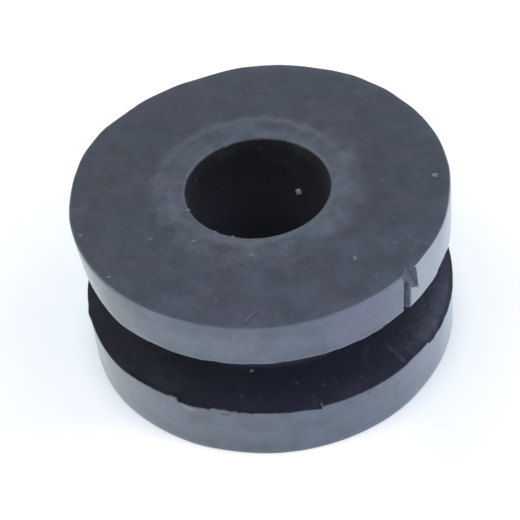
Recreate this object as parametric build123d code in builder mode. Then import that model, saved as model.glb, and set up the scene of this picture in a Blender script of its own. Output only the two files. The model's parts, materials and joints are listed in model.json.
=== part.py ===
"""A silent-block bushing: one moulded rubber grommet with two flanges, a panel groove and a bore.

The bore runs along Z. The origin is the centre of the lower face, on which the bushing stands.
Azimuths are measured round Z from +X, in degrees. Every length is in millimetres.
"""

import os
from math import cos, radians, sin

from build123d import *

# The flanges, the waist between them, and the bore
upper_flange_diameter = 21.0
lower_flange_diameter = 21.0
waist_diameter = 14.0
bore_diameter = 8.0
lower_flange_thickness = 3.4
groove_width = 4.2
upper_flange_thickness = 2.6

# How the corners of the section are eased. The two lips of the groove stay sharp, as moulded
upper_edge_radius = 0.3
lower_edge_chamfer = 0.15
groove_root_radius = 0.3
bore_mouth_chamfer = 0.2

# The low crowned bead on the upper face, set back a little from the mouth of the bore
bead_setback = 0.4
bead_width = 1.2
bead_height = 0.1

# Mould flash left standing on the lower lip of the groove: (start azimuth, sweep) of each run
flash_runs = [(-142, 19), (-113, 24)]
flash_height = 0.15
flash_thickness = 0.25

# Stretches of that lip that were worn down to a shallow slope: (start azimuth, sweep) of each run
worn_lip_runs = [(-85, 6.5), (-45, 10.5)]
worn_lip_reach = 0.9
worn_lip_drop = 0.22

# Worked out from the sizes above
upper_flange_radius = upper_flange_diameter / 2
lower_flange_radius = lower_flange_diameter / 2
waist_radius = waist_diameter / 2
bore_radius = bore_diameter / 2
groove_floor = lower_flange_thickness
groove_ceiling = groove_floor + groove_width
upper_face = groove_ceiling + upper_flange_thickness
bead_inner_radius = bore_radius + bead_setback
bead_outer_radius = bead_inner_radius + bead_width
bead_crown_radius = (bead_inner_radius + bead_outer_radius) / 2

# The two tears in the upper rim. Each is a V whose two walls meet along a straight bottom line, and each wall
# passes through one more point of the rim. A point of the bottom line is (azimuth, depth in from the rim,
# height), and a point of the rim is (azimuth, height)
chip_bottom = [(-44.6, 0.33, upper_face), (-44.2, 0, upper_face - 1.43)]
chip_walls = [(-51.0, upper_face - 0.08), (-44.9, upper_face)]
slit_bottom = [(-48.9, 0.12, upper_face - 0.6), (-49.3, 0.55, groove_ceiling)]
slit_walls = [(-50.15, groove_ceiling + 0.9), (-47.3, groove_ceiling + 0.9)]

# How far a cutter reaches past the surface that it opens, and a fin into the flange that it grows from
overrun = 0.5
fin_root = 0.1


def outwards_at(azimuth):
    """The level direction that points away from the bore's axis at that azimuth."""
    return Vector(cos(radians(azimuth)), sin(radians(azimuth)), 0)


def section_plane(azimuth):
    """The upright plane that holds the bore's axis: local X points outwards, and local Y up."""
    outwards = outwards_at(azimuth)
    return Plane(origin=(0, 0, 0), x_dir=outwards, z_dir=outwards.cross(Vector(0, 0, 1)))


def point_in_rim(azimuth, depth, height):
    """The point at that azimuth and height, at that depth in from the upper rim."""
    return outwards_at(azimuth) * (upper_flange_radius - depth) + Vector(0, 0, height)


with BuildPart() as rubber_bushing:
    # The moulded body is half its section, turned round the bore
    with BuildSketch(Plane.XZ) as section:
        with BuildLine():
            Polyline(
                (bead_inner_radius, upper_face),
                (bore_radius, upper_face),
                (bore_radius, 0),
                (lower_flange_radius, 0),
                (lower_flange_radius, groove_floor),
                (waist_radius, groove_floor),
                (waist_radius, groove_ceiling),
                (upper_flange_radius, groove_ceiling),
                (upper_flange_radius, upper_face),
                (bead_outer_radius, upper_face),
            )
            ThreePointArc(
                (bead_outer_radius, upper_face),
                (bead_crown_radius, upper_face + bead_height),
                (bead_inner_radius, upper_face),
            )
        make_face()
        for ease, size, radius, height in [
            (fillet, upper_edge_radius, upper_flange_radius, upper_face),
            (fillet, groove_root_radius, waist_radius, groove_floor),
            (fillet, groove_root_radius, waist_radius, groove_ceiling),
            (chamfer, lower_edge_chamfer, lower_flange_radius, 0),
            (chamfer, bore_mouth_chamfer, bore_radius, 0),
            (chamfer, bore_mouth_chamfer, bore_radius, upper_face),
        ]:
            corner = section.vertices().sort_by_distance((radius, height))[0]
            ease(corner, size)
    revolve(axis=Axis.Z)

    # Flash stands up from the lower lip as a thin fin that leans inwards
    for start, sweep in flash_runs:
        with BuildSketch(section_plane(start)):
            with BuildLine():
                Polyline(
                    (lower_flange_radius - flash_thickness, groove_floor),
                    (lower_flange_radius, groove_floor + flash_height),
                    (lower_flange_radius, groove_floor - fin_root),
                    (lower_flange_radius - flash_thickness, groove_floor - fin_root),
                    close=True,
                )
            make_face()
        revolve(axis=Axis.Z, revolution_arc=sweep)

    # Wear slopes the same lip down between the runs of flash
    for start, sweep in worn_lip_runs:
        with BuildSketch(section_plane(start)):
            with BuildLine():
                Polyline(
                    (lower_flange_radius - worn_lip_reach, groove_floor),
                    (lower_flange_radius, groove_floor - worn_lip_drop),
                    (lower_flange_radius + overrun, groove_floor - worn_lip_drop),
                    (lower_flange_radius + overrun, groove_floor + overrun),
                    (lower_flange_radius - worn_lip_reach, groove_floor + overrun),
                    close=True,
                )
            make_face()
        revolve(axis=Axis.Z, revolution_arc=sweep, mode=Mode.SUBTRACT)

    # The chip breaks the upper edge, and the slit runs from under it down to the groove
    for bottom, walls, start_overrun in [(chip_bottom, chip_walls, overrun), (slit_bottom, slit_walls, 0)]:
        first, last = [point_in_rim(*point) for point in bottom]
        run = (last - first).normalized()
        across = Plane(origin=first - run * start_overrun, z_dir=run)
        wall_points = [across.to_local_coords(point_in_rim(azimuth, 0, height)) for azimuth, height in walls]
        wall_runs = [Vector(point.X, point.Y) for point in wall_points]
        wall_tips = [wall + wall.normalized() * overrun for wall in wall_runs]
        with BuildSketch(across):
            with BuildLine():
                Polyline((0, 0), *wall_tips, close=True)
            make_face()
        extrude(amount=start_overrun + (last - first).length + overrun, mode=Mode.SUBTRACT)

os.makedirs("parts", exist_ok=True)
rubber_bushing.part.label = "rubber_bushing"
export_step(rubber_bushing.part, "parts/rubber_bushing.step")
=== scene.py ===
"""A silent-block bushing of black rubber, dressed for a studio view.

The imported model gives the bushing's size and place. This script turns a finer skin over it, wears and
tears that skin as years of use have done, and lays the dust on it. Then it sets the floor, the lamps
and the camera. Lengths are in millimetres and azimuths in degrees round Z from +X, unless a name says
otherwise. The front is towards -Y. Only finished meshes are in metres.
"""

from __future__ import annotations

import json
import logging
import math
import random
from dataclasses import dataclass, replace
from enum import Enum
from functools import lru_cache

import bmesh
import bpy
from mathutils import Matrix, Vector, noise
from mathutils.bvhtree import BVHTree

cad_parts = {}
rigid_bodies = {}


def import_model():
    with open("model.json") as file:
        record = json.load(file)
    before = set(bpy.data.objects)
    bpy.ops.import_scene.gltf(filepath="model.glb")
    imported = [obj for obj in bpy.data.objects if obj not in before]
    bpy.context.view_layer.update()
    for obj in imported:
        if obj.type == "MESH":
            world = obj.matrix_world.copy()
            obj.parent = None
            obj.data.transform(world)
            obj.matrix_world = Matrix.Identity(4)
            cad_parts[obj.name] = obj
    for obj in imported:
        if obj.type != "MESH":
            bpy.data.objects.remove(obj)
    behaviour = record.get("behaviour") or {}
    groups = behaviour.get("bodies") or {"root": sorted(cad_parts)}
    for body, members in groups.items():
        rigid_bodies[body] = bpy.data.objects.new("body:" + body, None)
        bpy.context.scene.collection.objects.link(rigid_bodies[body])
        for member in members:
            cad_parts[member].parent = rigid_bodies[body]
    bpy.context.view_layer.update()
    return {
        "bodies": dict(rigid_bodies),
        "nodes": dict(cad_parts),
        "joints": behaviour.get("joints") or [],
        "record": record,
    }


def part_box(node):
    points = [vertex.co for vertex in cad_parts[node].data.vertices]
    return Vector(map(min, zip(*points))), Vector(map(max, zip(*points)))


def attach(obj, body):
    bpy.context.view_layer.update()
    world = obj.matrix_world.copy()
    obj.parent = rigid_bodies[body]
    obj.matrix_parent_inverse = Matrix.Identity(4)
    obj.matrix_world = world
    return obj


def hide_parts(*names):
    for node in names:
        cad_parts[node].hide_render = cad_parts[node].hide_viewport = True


MM = 0.001
NODE = "rubber_bushing"
BODY = "root"

UP = Vector((0.0, 0.0, 1.0))
ORIGIN = (0.0, 0.0, 0.0)
WHITE = (1.0, 1.0, 1.0)

Colour = tuple[float, float, float]
Point = tuple[float, float, float]
Band = tuple[float, float]
Socket = bpy.types.NodeSocket

log = logging.getLogger("bushing")


def smooth_step(low: float, high: float, value: float) -> float:
    """Rises smoothly from 0 to 1 as the value goes from low to high."""
    share = min(1.0, max(0.0, (value - low) / (high - low)))
    return share * share * (3.0 - 2.0 * share)


def fade_out(low: float, high: float, value: float) -> float:
    """Falls smoothly from 1 to 0 as the value goes from low to high."""
    return 1.0 - smooth_step(low, high, value)


def azimuth_between(first: float, second: float) -> float:
    """The signed turn from the second azimuth to the first, from -180 to 180 degrees."""
    return (first - second + 180.0) % 360.0 - 180.0


def polar(azimuth: float, radius: float, height: float) -> Vector:
    """The point at that azimuth, radius and height."""
    angle = math.radians(azimuth)
    return Vector((radius * math.cos(angle), radius * math.sin(angle), height))


# ---------------------------------------------------------------- finishes


@dataclass(frozen=True)
class Grain:
    """Noise of one size. Where it is stretched, it rises from 0 to its share between its low and high."""

    size: float
    detail: float
    low: float = 0.25
    high: float = 0.75
    share: float = 1.0
    warp: float = 0.0


@dataclass(frozen=True)
class Spatter:
    """Specks in the skin itself: one in some of the cells of that spacing, with its radius and strength."""

    spacing: float
    radius: float
    share: float
    strength: float


@dataclass(frozen=True)
class Scratch:
    """A straight scuff on the rubber, from one azimuth, radius and height to another."""

    start: Point
    end: Point
    width: float
    strength: float


@dataclass(frozen=True)
class Gloss:
    """How a surface returns the light that falls on it."""

    roughness: float
    specular: float
    coat: float = 0.0
    coat_roughness: float = 0.3
    sheen: float = 0.0
    sheen_roughness: float = 0.3
    ior: float = 1.5


class NodeSheet:
    """The node tree of a material or a world, with short calls for the nodes that it is made of."""

    def __init__(self, name: str, is_world: bool = False) -> None:
        """Starts an empty material or world.

        Args:
            name: Its name.
            is_world: Whether it is a world.
        """
        self.owner = (bpy.data.worlds if is_world else bpy.data.materials).new(name)
        self.owner.use_nodes = True
        self.tree = self.owner.node_tree
        self.tree.nodes.clear()
        self.output = self.tree.nodes.new("ShaderNodeOutputWorld" if is_world else "ShaderNodeOutputMaterial")

    def add(self, kind: str, inputs: dict | None = None, **settings: object) -> bpy.types.Node:
        """Adds a node.

        Args:
            kind: The node's type, such as "ShaderNodeMath".
            inputs: What each input takes, by its name or number: a socket to link, or a value.
            **settings: The node's own properties.

        Returns:
            The new node.
        """
        node = self.tree.nodes.new(kind)
        for key, value in settings.items():
            setattr(node, key, value)
        for key, value in (inputs or {}).items():
            if isinstance(value, Socket):
                self.tree.links.new(value, node.inputs[key])
            else:
                node.inputs[key].default_value = value
        return node

    def place(self) -> Socket:
        """The surface's own place in millimetres, in the bushing's frame."""
        coordinates = self.add("ShaderNodeTexCoord").outputs["Object"]
        return self.vector("SCALE", coordinates, 1.0 / MM)

    def parts(self, vector: Socket) -> tuple[Socket, Socket, Socket]:
        """The X, Y and Z of a vector."""
        return tuple(self.add("ShaderNodeSeparateXYZ", {0: vector}).outputs)

    def vector(self, operation: str, first: object, second: object) -> Socket:
        """Two vectors joined by a Vector Math node, or one of them scaled by a number."""
        slot = 3 if operation == "SCALE" else 1
        node = self.add("ShaderNodeVectorMath", {0: first, slot: second}, operation=operation)
        return node.outputs["Value" if operation in {"LENGTH", "DOT_PRODUCT", "DISTANCE"} else "Vector"]

    def maths(self, operation: str, *values: object, clamp: bool = False) -> Socket:
        """Values joined in turn by Math nodes, each of them a socket or a number."""
        result = values[0]
        for value in values[1:] or [0.0]:
            node = self.add("ShaderNodeMath", {0: result, 1: value}, operation=operation, use_clamp=clamp)
            result = node.outputs[0]
        return result

    def product(self, *factors: object) -> Socket:
        """The product of two or more values."""
        return self.maths("MULTIPLY", *factors)

    def total(self, *terms: object, clamp: bool = False) -> Socket:
        """The sum of two or more values."""
        return self.maths("ADD", *terms, clamp=clamp)

    def fade(self, value: object, low: float, high: float, share: float = 1.0) -> Socket:
        """Rises smoothly from 0 to the share as the value goes from low to high, or falls if low is more."""
        first, last = (0.0, share) if high > low else (share, 0.0)
        inputs = {0: value, 1: min(low, high), 2: max(low, high), 3: first, 4: last}
        return self.add("ShaderNodeMapRange", inputs, interpolation_type="SMOOTHSTEP").outputs[0]

    def noise(self, vector: object, grain: Grain) -> Socket:
        """Noise whose blotches are about as large as the grain, in the vector's own units."""
        pattern = {"Scale": 1.0 / grain.size, "Detail": grain.detail, "Distortion": grain.warp}
        return self.add("ShaderNodeTexNoise", {"Vector": vector, **pattern}).outputs["Fac"]

    def stretched(self, vector: object, grain: Grain) -> Socket:
        """The same noise, stretched as the grain says."""
        return self.fade(self.noise(vector, grain), grain.low, grain.high, grain.share)

    def blend(self, factor: object, first: object, second: object, mode: str = "MIX") -> Socket:
        """Two colours mixed by a factor, each of them a socket or a colour."""
        ends = [value if isinstance(value, Socket) else (*value, 1.0) for value in (first, second)]
        inputs = {0: factor, 6: ends[0], 7: ends[1]}
        return self.add("ShaderNodeMix", inputs, data_type="RGBA", blend_type=mode).outputs[2]

    def tint(self, factor: object, colour: object, gain: Colour) -> Socket:
        """A colour that is multiplied by a gain where the factor is 1."""
        return self.blend(factor, colour, gain, "MULTIPLY")

    def spatter(self, vector: object, spatter: Spatter) -> Socket:
        """Small round specks: their strength inside a speck, and 0 outside."""
        inputs = {"Vector": vector, "Scale": 1.0 / spatter.spacing, "Randomness": 1.0}
        cells = self.add("ShaderNodeTexVoronoi", inputs)
        chance = self.add("ShaderNodeSeparateColor", {0: cells.outputs["Color"]}).outputs[0]
        edge = spatter.radius / spatter.spacing
        inside = self.fade(cells.outputs["Distance"], edge, 0.4 * edge)
        kept = self.fade(chance, 1.0 - spatter.share, 1.0 - spatter.share + 0.02)
        return self.product(inside, kept, spatter.strength)

    def stroke(self, place: Socket, start: Vector, end: Vector, width: float) -> Socket:
        """A straight mark from one point to another, fading out to both sides.

        Args:
            place: Where the surface is, in millimetres.
            start: The mark's first point.
            end: The mark's last point.
            width: The mark's whole width.

        Returns:
            1 along the middle of the mark and 0 outside it.
        """
        run = end - start
        offset = self.vector("SUBTRACT", place, start)
        reached = self.vector("DOT_PRODUCT", offset, run)
        along = self.maths("MULTIPLY", reached, 1.0 / run.length_squared, clamp=True)
        miss = self.vector("DISTANCE", offset, self.vector("SCALE", run, along))
        return self.fade(miss, 0.5 * width, 0.1 * width)

    def bump(self, height: Socket, strength: float, depth: float) -> Socket:
        """A relief too fine to model, of that depth."""
        inputs = {"Strength": strength, "Distance": depth * MM, "Height": height}
        return self.add("ShaderNodeBump", inputs).outputs[0]

    def skin(self, colour: Socket, matt: Socket, relief: Socket, gloss: Gloss) -> bpy.types.Node:
        """The shader of a surface.

        Args:
            colour: Its colour.
            matt: How much rougher than its gloss it is.
            relief: Its fine relief.
            gloss: How it returns light.

        Returns:
            The shader's node.
        """
        inputs = {
            "Base Color": colour,
            "Roughness": self.total(matt, gloss.roughness, clamp=True),
            "IOR": gloss.ior,
            "Specular IOR Level": gloss.specular,
            "Coat Weight": gloss.coat,
            "Coat IOR": gloss.ior,
            "Coat Roughness": gloss.coat_roughness,
            "Sheen Weight": gloss.sheen,
            "Sheen Roughness": gloss.sheen_roughness,
            "Normal": relief,
        }
        return self.add("ShaderNodeBsdfPrincipled", inputs)

    def mix(self, factor: Socket, first: bpy.types.Node, second: bpy.types.Node) -> bpy.types.Node:
        """Two shaders mixed by a factor."""
        return self.add("ShaderNodeMixShader", {0: factor, 1: first.outputs[0], 2: second.outputs[0]})

    def finish(self, shader: bpy.types.Node) -> bpy.types.ID:
        """Links the shader to the output, and gives the material or world."""
        self.tree.links.new(shader.outputs[0], self.output.inputs["Surface"])
        return self.owner


class RubberSheet(NodeSheet):
    """A node sheet for the bushing's skin, with sockets that say where on the section a point lies."""

    upright: Band = (0.88, 0.55)
    rim_band: Band = (-0.8, -0.6)

    def __init__(self, name: str, section: Section) -> None:
        """Starts an empty material.

        Args:
            name: Its name.
            section: The bushing's section, which says where its faces and edges are.
        """
        super().__init__(name)
        self.section = section
        self.here = self.place()
        self.side, self.back, self.height = self.parts(self.here)
        flat = self.add("ShaderNodeCombineXYZ", {0: self.side, 1: self.back}).outputs[0]
        self.radius = self.vector("LENGTH", flat, ORIGIN)
        slope = self.parts(self.add("ShaderNodeTexCoord").outputs["Normal"])[2]
        upright = self.fade(self.maths("ABSOLUTE", slope), *self.upright)
        self.on_rim = self.product(upright, self.crossing(self.radius, section.rim_radius, self.rim_band))
        self.off_rim = self.maths("SUBTRACT", 1.0, self.on_rim)

    def crossing(self, value: Socket, line: float, band: Band, share: float = 1.0) -> Socket:
        """Rises from 0 to the share as the value crosses a band, whose ends are measured from the line."""
        return self.fade(value, line + band[0], line + band[1], share)


@dataclass(frozen=True)
class RubberFinish:
    """Black moulded rubber: mottled, dusty and rubbed pale at its edges, with painted light on its rims,
    along its upper edge at the right and towards its front, and painted shade and light in its groove and
    bore.

    Its tone is a base that the fine grain, the painted light on the rims, the upper edge and the front, and
    the ring add to.
    Each band is where something fades in, from its first value to its last.
    """

    name: str = "aged_rubber"
    dark: Colour = (0.0140, 0.0168, 0.0248)
    pale: Colour = (0.0280, 0.0320, 0.0460)
    mottle: Grain = Grain(1.5, 4.0, 0.3, 0.7, warp=0.4)
    mottle_matt: Point = (0.35, 0.7, 0.1)
    clouds: Grain = Grain(3.4, 2.0)
    cool: Colour = (0.88, 1.03, 1.04)
    cool_band: Band = (0.42, 0.6)
    warm: Colour = (1.08, 0.96, 1.04)
    warm_band: Band = (0.5, 0.36)
    fine: Grain = Grain(0.38, 3.0, share=0.5)
    base_tone: float = 0.75

    # Painted light on the rims, more on the upper one; painted shade on the lower rim towards the floor.
    rim_light_base: float = 1.0
    rim_bands: Grain = Grain(1.0, 3.0, share=0.8)
    rim_band_scale: Point = (0.12, 0.12, 1.2)
    upper_rim_light_gain: float = 0.4
    foot_shade: float = 0.6
    foot_band: Band = (2.2, 0.0)
    # Painted light: the rims take a bluer tint towards the right.
    right_light_tint: Colour = (1.02, 0.98, 1.22)
    right_light_tint_band: Band = (-5.0, 5.0)

    # Painted light: the upper face paler along its outer edge at the right.
    edge_light_gain: float = 0.35
    edge_light_band: Band = (-0.8, -0.2)
    edge_light_side: Band = (-5.0, -1.0)
    # Painted light: the faces paler towards the front.
    front_light_gain: float = 0.42
    front_light_band: Band = (1.0, -8.0)

    ring_base: float = 1.22
    ring_tint: Colour = (1.05, 1.0, 0.86)
    ring_band: Band = (6.9, 5.2)
    ring_top: Band = (-0.3, -0.1)
    ring_edge: Grain = Grain(0.9, 4.0, 0.2, 0.8, 1.1)
    ring_streaks: Grain = Grain(0.5, 4.0, 0.2, 0.8, 0.6)

    # Painted shade in the groove, with painted light that pales it towards the right.
    groove_shade_colour: Colour = (0.0075, 0.0088, 0.0170)
    groove_right_light: Colour = (2.1, 1.95, 2.0)
    groove_side: Band = (-8.0, -2.0)
    groove_foot: Band = (-0.6, -0.5)
    groove_head: Band = (0.35, 0.3)
    # Painted shade down the bore, with painted light that pales it further down.
    bore_shade_colour: Colour = (0.0090, 0.0086, 0.0112)
    bore_base: float = 0.6
    bore_depth_light_gain: float = 8.0
    bore_shade_from: float = 0.6
    bore_band: Band = (0.25, 0.15)
    bore_mouth: Band = (-0.05, -0.3)

    dust: Colour = (0.15, 0.16, 0.185)
    dust_matt: float = 0.4
    dust_film: Grain = Grain(2.2, 5.0, 0.5, 0.8, 0.12, 0.6)
    spatters: tuple[Spatter, ...] = (Spatter(0.42, 0.07, 0.22, 0.45), Spatter(1.1, 0.13, 0.3, 0.32))
    worn_edge: Grain = Grain(0.8, 4.0, 0.4, 0.75, 0.16)
    worn_edge_out: Band = (-0.28, -0.1)
    worn_edge_up: Band = (-0.42, -0.2)
    scuffs: Grain = Grain(0.22, 3.0, 0.25, 0.65)
    scratches: tuple[Scratch, ...] = (
        Scratch((-47.6, 8.76, 3.4), (-49.2, 10.27, 3.4), 0.38, 0.32),
        Scratch((-52.8, 8.12, 3.4), (-58.1, 8.59, 3.4), 0.34, 0.16),
        Scratch((-58.1, 8.59, 3.4), (-59.1, 9.39, 3.4), 0.34, 0.12),
        Scratch((-112.0, 10.5, 3.2), (-104.0, 10.5, 3.24), 0.34, 0.3),
        Scratch((-101.5, 10.5, 10.0), (-101.9, 10.5, 9.3), 0.34, 0.35),
        Scratch((-43.0, 9.8, 3.4), (-17.0, 9.7, 3.4), 2.2, 0.2),
        Scratch((-42.5, 10.0, 10.2), (-38.5, 9.75, 10.2), 0.5, 0.14),
        Scratch((-38.0, 9.0, 10.2), (-42.0, 8.2, 10.2), 0.2, 0.2),
        Scratch((-33.0, 8.6, 10.2), (-35.0, 9.2, 10.2), 0.16, 0.25),
        Scratch((152.0, 9.1, 10.2), (168.0, 9.4, 10.2), 0.22, 0.15),
        Scratch((60.0, 10.5, 2.6), (74.0, 10.5, 1.1), 0.25, 0.3),
        Scratch((118.0, 10.5, 9.6), (128.0, 10.5, 8.3), 0.2, 0.3),
        Scratch((20.0, 10.5, 8.6), (29.0, 10.5, 9.1), 0.16, 0.3),
    )

    skin_grain: Grain = Grain(0.11, 2.0, 0.2, 0.8)
    rim_calm: float = 0.35
    dents: Grain = Grain(0.7, 3.0, 0.2, 0.8, 2.2)
    dust_height: float = 1.5
    relief_strength: float = 0.55
    relief_depth: float = 0.012

    face_gloss: Gloss = Gloss(0.52, 0.9, 0.2, 0.3, 0.25)
    rim_gloss: Gloss = Gloss(0.28, 0.9, 1.0, 0.15, 0.25)
    # Painted shade: the groove and the bore take a duller copy of the gloss.
    recess_shade_gloss: Gloss = Gloss(0.62, 0.5, 0.0, 0.3, 0.15)
    # Painted highlight: a glossier copy of the rim gloss on the upper rim past the tear.
    lit_rim_gloss: Gloss = Gloss(0.28, 0.9, 1.0, 0.2, 0.25, ior=2.1)
    lit_rim_from: float = -47.4
    lit_rim_start: Band = (0.0, 0.12)
    lit_rim_back: Band = (5.0, -1.0)

    def material(self, section: Section) -> bpy.types.Material:
        """Builds the material.

        Args:
            section: The bushing's section, which says where its faces and edges are.

        Returns:
            The finished material.
        """
        sheet = RubberSheet(self.name, section)
        mottle = sheet.noise(sheet.here, self.mottle)
        ring = self.ring_share(sheet)
        in_groove, in_bore = self.in_groove(sheet), self.in_bore(sheet)
        colour = sheet.vector("SCALE", self.mottled(sheet, mottle), self.tone(sheet, ring))
        # Painted light: the rims take a bluer tint towards the right.
        toward_right_light = sheet.fade(sheet.side, *self.right_light_tint_band)
        colour = sheet.tint(sheet.product(sheet.on_rim, toward_right_light), colour, self.right_light_tint)
        colour = sheet.tint(sheet.maths("MINIMUM", ring, 1.0), colour, self.ring_tint)
        # Painted shade and light in the groove and down the bore.
        colour = sheet.blend(in_groove, colour, self.groove_painted_shade(sheet))
        colour = sheet.blend(in_bore, colour, self.bore_painted_shade(sheet))
        dusting = self.dusting(sheet)
        colour = sheet.blend(dusting, colour, self.dust)
        matt = sheet.total(sheet.fade(mottle, *self.mottle_matt), sheet.product(dusting, self.dust_matt))
        relief = self.relief(sheet, dusting)

        face, rim, lit_rim, recess_shade = (
            sheet.skin(colour, matt, relief, gloss)
            for gloss in (self.face_gloss, self.rim_gloss, self.lit_rim_gloss, self.recess_shade_gloss)
        )
        outside = sheet.mix(sheet.on_rim, face, rim)
        # The upper rim past the tear takes a glossier copy, as a painted highlight.
        outside = sheet.mix(self.in_lit_rim(sheet), outside, lit_rim)
        # The groove and the bore take a duller gloss, as painted shade.
        return sheet.finish(sheet.mix(sheet.maths("MAXIMUM", in_groove, in_bore), outside, recess_shade))

    def mottled(self, sheet: RubberSheet, mottle: Socket) -> Socket:
        """The rubber's own colour: two mottled tones, cooler and warmer in soft clouds."""
        clouds = sheet.noise(sheet.here, self.clouds)
        colour = sheet.blend(sheet.fade(mottle, self.mottle.low, self.mottle.high), self.dark, self.pale)
        colour = sheet.tint(sheet.fade(clouds, *self.cool_band), colour, self.cool)
        return sheet.tint(sheet.fade(clouds, *self.warm_band), colour, self.warm)

    def tone(self, sheet: RubberSheet, ring: Socket) -> Socket:
        """How pale each place is, as a gain on the rubber's own colour, with painted light on the rims, along
        the upper edge and towards the front.
        """
        fine = sheet.stretched(sheet.here, self.fine)
        # Painted light: the faces paler towards the front.
        light_toward_front = sheet.fade(sheet.back, *self.front_light_band, self.front_light_gain)
        front = sheet.product(light_toward_front, sheet.off_rim)
        return sheet.total(fine, self.base_tone, self.rim_light_share(sheet), self.edge_light_share(sheet), front, ring)

    def rim_light_share(self, sheet: RubberSheet) -> Socket:
        """Painted light that makes the rims paler than the faces, in soft level bands, more on the upper rim,
        with painted shade on the lower rim towards the floor.
        """
        level = sheet.vector("MULTIPLY", sheet.here, self.rim_band_scale)
        bands = sheet.stretched(level, self.rim_bands)
        section = sheet.section
        upper = sheet.fade(sheet.height, section.groove_floor, section.groove_ceiling, self.upper_rim_light_gain)
        foot = sheet.fade(sheet.height, *self.foot_band, -self.foot_shade)
        return sheet.product(sheet.on_rim, sheet.total(bands, sheet.total(upper, foot, self.rim_light_base)))

    def edge_light_share(self, sheet: RubberSheet) -> Socket:
        """Painted light that makes the upper face paler along its outer edge, which its left side has less
        of.
        """
        near_edge = sheet.crossing(sheet.radius, sheet.section.rim_radius, self.edge_light_band, self.edge_light_gain)
        return sheet.product(near_edge, sheet.off_rim, sheet.fade(sheet.side, *self.edge_light_side))

    def ring_share(self, sheet: RubberSheet) -> Socket:
        """How much paler the ragged ring round the bore's mouth is than the face."""
        ragged = sheet.total(sheet.radius, sheet.stretched(sheet.here, self.ring_edge))
        inside = sheet.fade(ragged, *self.ring_band)
        on_face = sheet.crossing(sheet.height, sheet.section.upper_face, self.ring_top)
        streaks = sheet.stretched(sheet.here, self.ring_streaks)
        return sheet.product(inside, on_face, sheet.total(streaks, self.ring_base))

    def in_groove(self, sheet: RubberSheet) -> Socket:
        """1 inside the groove, where painted shade darkens the rubber, and 0 outside."""
        over_floor = sheet.crossing(sheet.height, sheet.section.groove_floor, self.groove_foot)
        under_ceiling = sheet.crossing(sheet.height, sheet.section.groove_ceiling, self.groove_head)
        return sheet.product(sheet.off_rim, over_floor, under_ceiling)

    def groove_painted_shade(self, sheet: RubberSheet) -> Socket:
        """The painted shade of the groove, deepest at the left and paled by painted light towards the right.
        """
        return sheet.tint(sheet.fade(sheet.side, *self.groove_side), self.groove_shade_colour, self.groove_right_light)

    def in_bore(self, sheet: RubberSheet) -> Socket:
        """1 down the bore, and 0 outside."""
        near_axis = sheet.crossing(sheet.radius, sheet.section.bore_radius, self.bore_band)
        below_mouth = sheet.crossing(sheet.height, sheet.section.upper_face, self.bore_mouth)
        return sheet.product(near_axis, below_mouth)

    def bore_painted_shade(self, sheet: RubberSheet) -> Socket:
        """The painted shade of the bore, with painted light that makes it paler further down."""
        top = sheet.section.upper_face - self.bore_shade_from
        depth = sheet.fade(sheet.height, top, sheet.section.groove_floor, self.bore_depth_light_gain)
        return sheet.vector("SCALE", self.bore_shade_colour, sheet.total(depth, self.bore_base))

    def in_lit_rim(self, sheet: RubberSheet) -> Socket:
        """1 on the upper rim past the tear, where a glossier copy paints in a highlight, fading out towards
        the back.
        """
        past_tear = sheet.vector("DOT_PRODUCT", sheet.here, polar(self.lit_rim_from + 90.0, 1.0, 0.0))
        on_upper = sheet.fade(sheet.height, sheet.section.groove_floor, sheet.section.groove_ceiling)
        from_tear = sheet.fade(past_tear, *self.lit_rim_start)
        return sheet.product(sheet.on_rim, from_tear, on_upper, sheet.fade(sheet.back, *self.lit_rim_back))

    def dusting(self, sheet: RubberSheet) -> Socket:
        """Where pale dust, scuffs and rubbed edges lie, from 0 to 1."""
        here, section = sheet.here, sheet.section
        edge = sheet.product(
            sheet.crossing(sheet.radius, section.rim_radius, self.worn_edge_out),
            sheet.crossing(sheet.height, section.upper_face, self.worn_edge_up),
            sheet.stretched(here, self.worn_edge),
        )
        layers = [sheet.stretched(here, self.dust_film), edge]
        layers += [sheet.spatter(here, spatter) for spatter in self.spatters]
        patchy = sheet.stretched(here, self.scuffs)
        for scratch in self.scratches:
            mark = sheet.stroke(here, polar(*scratch.start), polar(*scratch.end), scratch.width)
            layers.append(sheet.product(mark, patchy, scratch.strength))
        return sheet.maths("MAXIMUM", *layers)

    def relief(self, sheet: RubberSheet, dusting: Socket) -> Socket:
        """The rubber's fine relief: a moulded grain, calmer on the rims, under low dents."""
        calm = sheet.add("ShaderNodeMapRange", {0: sheet.on_rim, 3: 1.0, 4: self.rim_calm}).outputs[0]
        grain = sheet.product(sheet.stretched(sheet.here, self.skin_grain), calm)
        dents = sheet.stretched(sheet.here, self.dents)
        height = sheet.total(grain, dents, sheet.product(dusting, self.dust_height))
        return sheet.bump(height, self.relief_strength, self.relief_depth)


@dataclass(frozen=True)
class GrainyFinish:
    """Dry, rough matter in two mottled tones: dirt and lint, or fresh rubber inside a tear, with painted
    shade in the chip and painted light in the slit.
    """

    name: str
    dark: Colour
    pale: Colour
    grain: Grain = Grain(0.12, 3.0, 0.35, 0.65)
    gloss: Gloss = Gloss(0.85, 0.3)
    matt: Point = (0.3, 0.7, 0.1)
    relief_strength: float = 0.6
    relief_depth: float = 0.02

    def material(self) -> bpy.types.Material:
        """Builds the material."""
        sheet = NodeSheet(self.name)
        blotches = sheet.noise(sheet.place(), self.grain)
        colour = sheet.blend(sheet.fade(blotches, self.grain.low, self.grain.high), self.dark, self.pale)
        relief = sheet.bump(blotches, self.relief_strength, self.relief_depth)
        return sheet.finish(sheet.skin(colour, sheet.fade(blotches, *self.matt), relief, self.gloss))


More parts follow.
